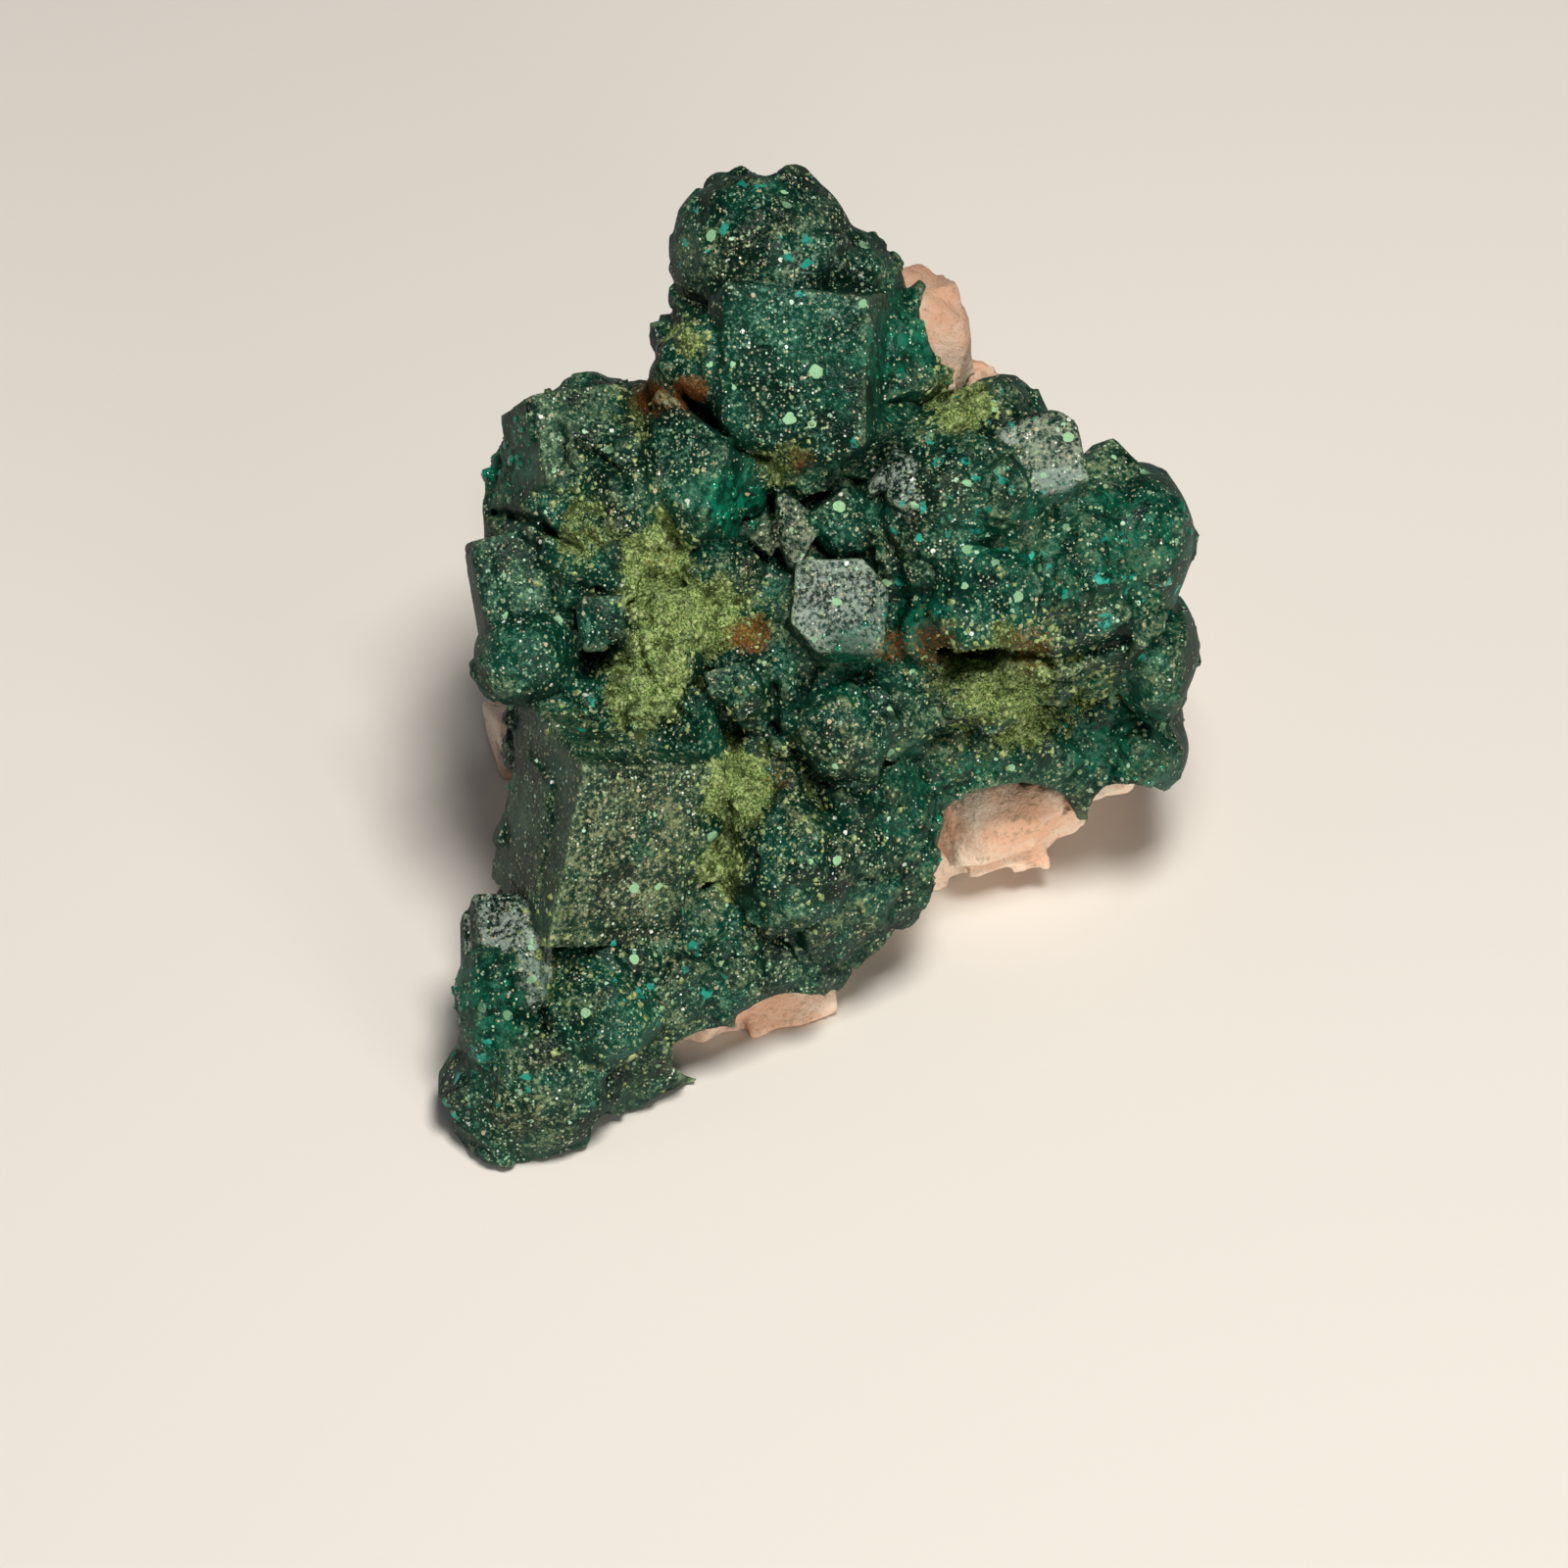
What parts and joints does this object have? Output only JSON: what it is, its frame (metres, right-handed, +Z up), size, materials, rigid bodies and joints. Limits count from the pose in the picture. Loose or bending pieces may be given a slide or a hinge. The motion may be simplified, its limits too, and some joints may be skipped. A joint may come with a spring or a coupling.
{
  "type": "dioptase specimen",
  "caption": "Mineral specimen of stubby dark green dioptase crystals grown over one face of a pale pink calcite rock, standing on its flat broken base.",
  "frame": {"origin": "middle of the footprint's box, on the plane the rock stands on", "axes": "+Z up from the base, -Y towards the crystal face, which leans back and looks up 49 degrees above the horizon, +X to the right as one looks at that face"},
  "size_m": [0.0447, 0.0459, 0.0435],
  "materials": {
    "matrix_rock": "broken carbonate rock, rough and dull",
    "dioptase_crystals": "grown crystal faces, glassy under a thin pale film"
  },
  "bodies": {
    "root": {"matrix_rock": "matrix_rock", "dioptase_crystals": "dioptase_crystals"}
  },
  "joints": []
}
